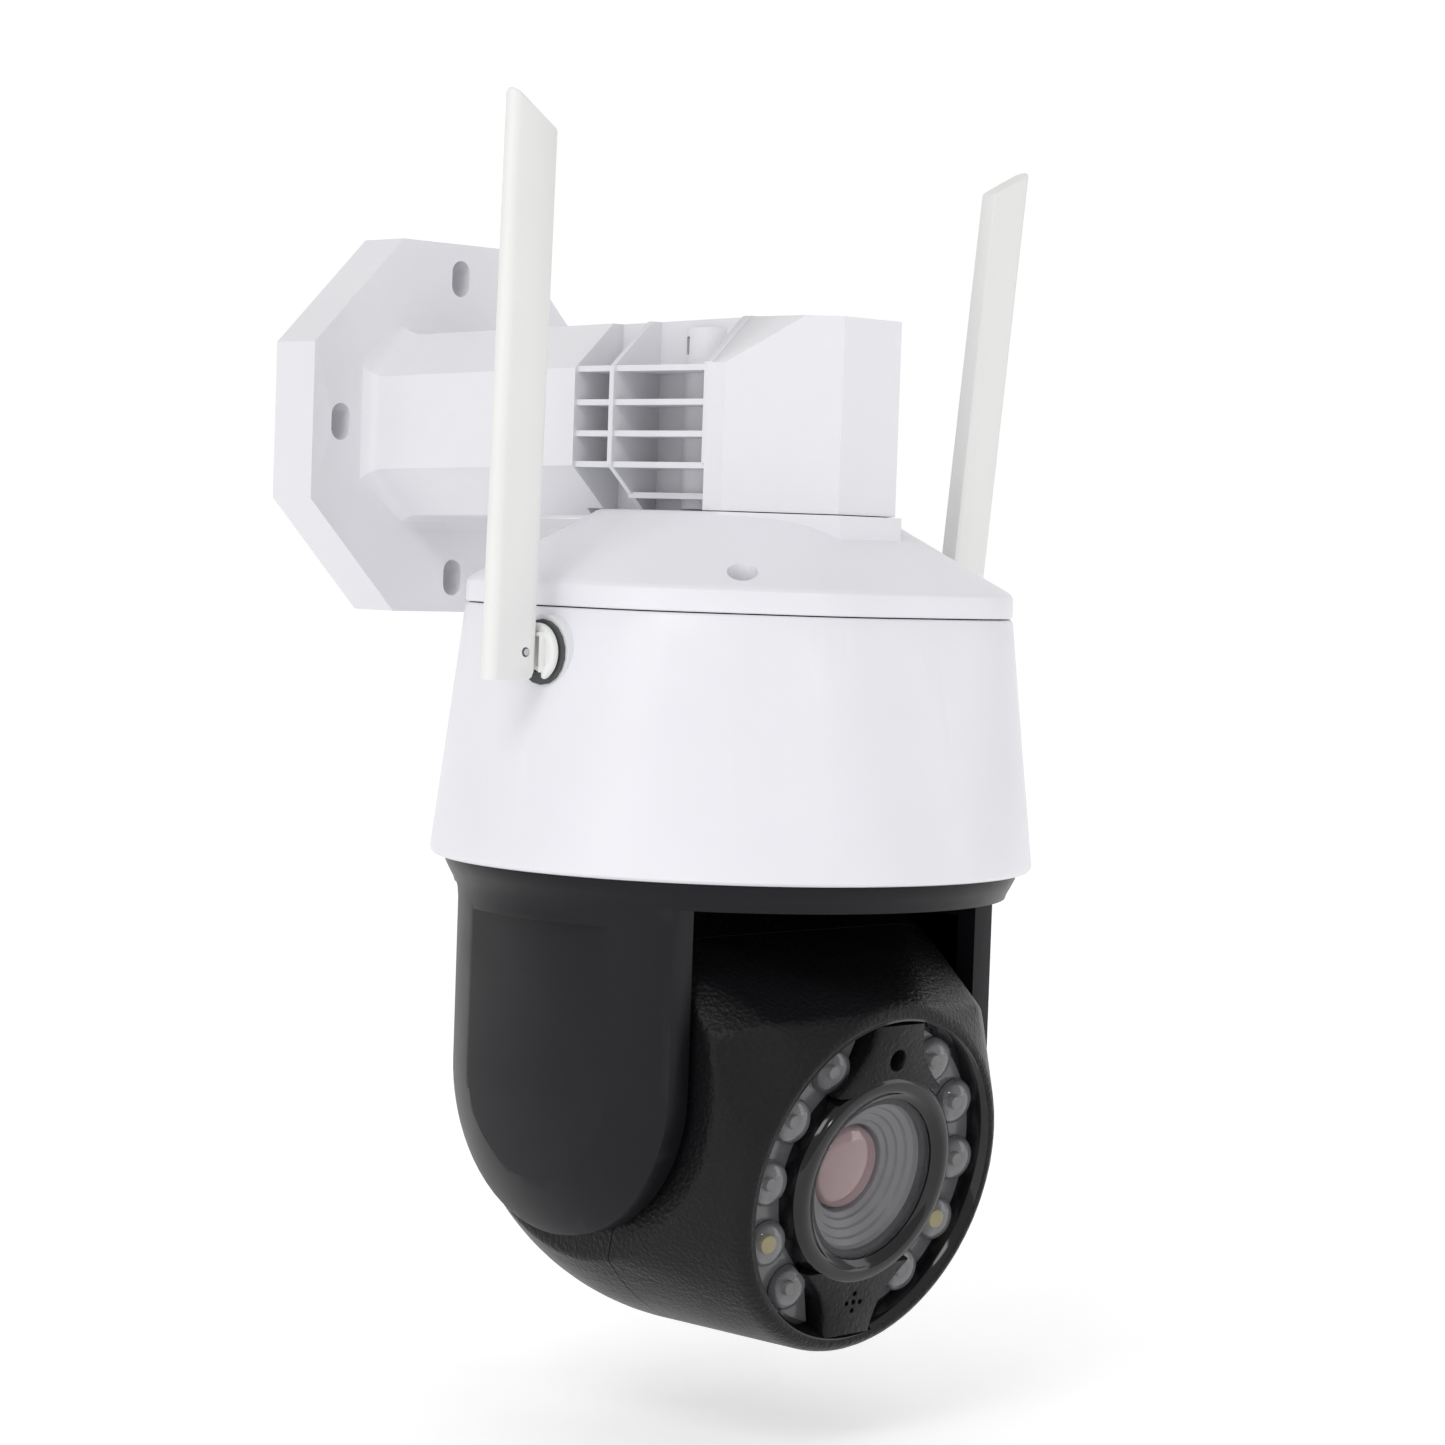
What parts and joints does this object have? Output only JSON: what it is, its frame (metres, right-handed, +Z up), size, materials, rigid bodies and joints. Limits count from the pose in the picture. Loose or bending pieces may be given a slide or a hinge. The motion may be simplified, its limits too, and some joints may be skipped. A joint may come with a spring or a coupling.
{
  "type": "ptz camera",
  "caption": "Outdoor pan-tilt-zoom camera: white bell housing with fold-out antennas on an octagonal wall bracket, black fork and ball head with ringed lens.",
  "frame": {"origin": "centre of the wall plate's back face", "axes": "+Y into the wall, +Z up, -Y along the arm away from the wall; the lens looks along -Y and 11 degrees down at rest"},
  "size_m": [0.2068, 0.2206, 0.3304],
  "materials": {
    "aluminium": "satin",
    "antenna_plastic": "semi-matte warm white",
    "black_grain": "fine leather grain, satin black",
    "black_plastic": "smooth satin black",
    "board_green": "green solder mask",
    "board_white": "white solder mask",
    "brass": "machined",
    "chip_black": "matt black",
    "clear_glass": "polished",
    "dark_rubber": "matt moulded rubber",
    "gear_plastic": "natural acetal",
    "smoked_plastic": "polished dark smoked plastic",
    "steel": "bright zinc",
    "white_plastic": "semi-matte moulded, slightly cool white"
  },
  "bodies": {
    "mount": {"wall_bracket": "white_plastic", "top_cover": "white_plastic", "cover_seal": "dark_rubber", "cover_screw_1": "steel", "cover_screw_2": "steel", "cover_screw_3": "steel", "cover_screw_4": "steel", "bracket_bolt_1": "steel", "bracket_bolt_2": "steel", "bracket_bolt_3": "steel", "cable_sleeve": "dark_rubber", "housing": "white_plastic", "main_board": "board_green", "pan_motor": "steel", "pan_bearing": "steel", "antenna_seal_left": "dark_rubber", "antenna_seal_right": "dark_rubber"},
    "yoke": {"yoke": "black_plastic", "yoke_cover_left": "black_plastic", "yoke_cover_right": "black_plastic", "pan_gear": "gear_plastic", "pan_nut": "brass", "slip_ring": "chip_black", "tilt_motor": "steel", "tilt_bearing_left": "steel", "tilt_bearing_right": "steel"},
    "pan_pinion": {"pan_pinion": "brass"},
    "tilt_pinion": {"tilt_pinion": "brass"},
    "head": {"head_front_shell": "black_grain", "head_rear_shell": "black_grain", "face_plate": "black_plastic", "lamp_window_left": "smoked_plastic", "lamp_window_right": "smoked_plastic", "lamp_lenses_left": "clear_glass", "lamp_lenses_right": "clear_glass", "lamp_board": "board_white", "light_sensor": "clear_glass", "microphone": "aluminium", "lens_window": "clear_glass", "lens_barrel": "black_plastic", "front_lens": "clear_glass", "sensor_board": "board_green", "camera_chassis": "aluminium", "heat_sink": "aluminium", "zoom_motor": "steel", "focus_motor": "steel", "tilt_gear": "gear_plastic"},
    "zoom_group": {"zoom_group": "aluminium"},
    "focus_group": {"focus_group": "brass"},
    "infrared_filter": {"infrared_filter": "clear_glass"},
    "antenna_swivel_left": {"antenna_base_left": "antenna_plastic", "antenna_nut_left": "brass", "antenna_pin_left": "steel"},
    "antenna_blade_left": {"antenna_blade_left": "antenna_plastic"},
    "antenna_swivel_right": {"antenna_base_right": "antenna_plastic", "antenna_nut_right": "brass", "antenna_pin_right": "steel"},
    "antenna_blade_right": {"antenna_blade_right": "antenna_plastic"}
  },
  "joints": [
    {"name": "pan", "type": "hinge", "parent": "mount", "child": "yoke", "pos_m": [0, -0.138, -0.12], "axis": [0, 0, 1], "range_deg": [-177, 177]},
    {"name": "tilt", "type": "hinge", "parent": "yoke", "child": "head", "pos_m": [0, -0.138, -0.174], "axis": [1, 0, 0], "range_deg": [-11, 79]},
    {"name": "pan_pinion_spin", "type": "hinge", "parent": "mount", "child": "pan_pinion", "pos_m": [0, -0.1834, -0.1], "axis": [0, 0, 1], "range_deg": [-710, 710]},
    {"name": "tilt_pinion_spin", "type": "hinge", "parent": "yoke", "child": "tilt_pinion", "pos_m": [0, -0.138, -0.1521], "axis": [1, 0, 0], "range_deg": [-226, 32]},
    {"name": "zoom", "type": "slide", "parent": "head", "child": "zoom_group", "axis": [0, -0.9816, -0.1908], "range_m": [-0.0035, 0.004]},
    {"name": "focus", "type": "slide", "parent": "head", "child": "focus_group", "axis": [0, -0.9816, -0.1908], "range_m": [-0.001, 0.001]},
    {"name": "infrared_filter_slide", "type": "slide", "parent": "head", "child": "infrared_filter", "axis": [1, 0, 0], "range_m": [-0.008, 0.008]},
    {"name": "antenna_swing_left", "type": "hinge", "parent": "mount", "child": "antenna_swivel_left", "pos_m": [-0.07, -0.1405, -0.0615], "axis": [1, 0, 0], "range_deg": [-90, 90]},
    {"name": "antenna_fold_left", "type": "hinge", "parent": "antenna_swivel_left", "child": "antenna_blade_left", "pos_m": [-0.0834, -0.1405, -0.0615], "axis": [0, 1, 0], "range_deg": [-91, 1]},
    {"name": "antenna_swing_right", "type": "hinge", "parent": "mount", "child": "antenna_swivel_right", "pos_m": [0.07, -0.1405, -0.0615], "axis": [1, 0, 0], "range_deg": [-90, 90]},
    {"name": "antenna_fold_right", "type": "hinge", "parent": "antenna_swivel_right", "child": "antenna_blade_right", "pos_m": [0.0834, -0.1405, -0.0615], "axis": [0, 1, 0], "range_deg": [-6.5, 83.5]}
  ],
  "couplings": [
    {"joint": "pan_pinion_spin", "follows": "pan", "ratio": -4},
    {"joint": "tilt_pinion_spin", "follows": "tilt", "ratio": -2.8571}
  ]
}
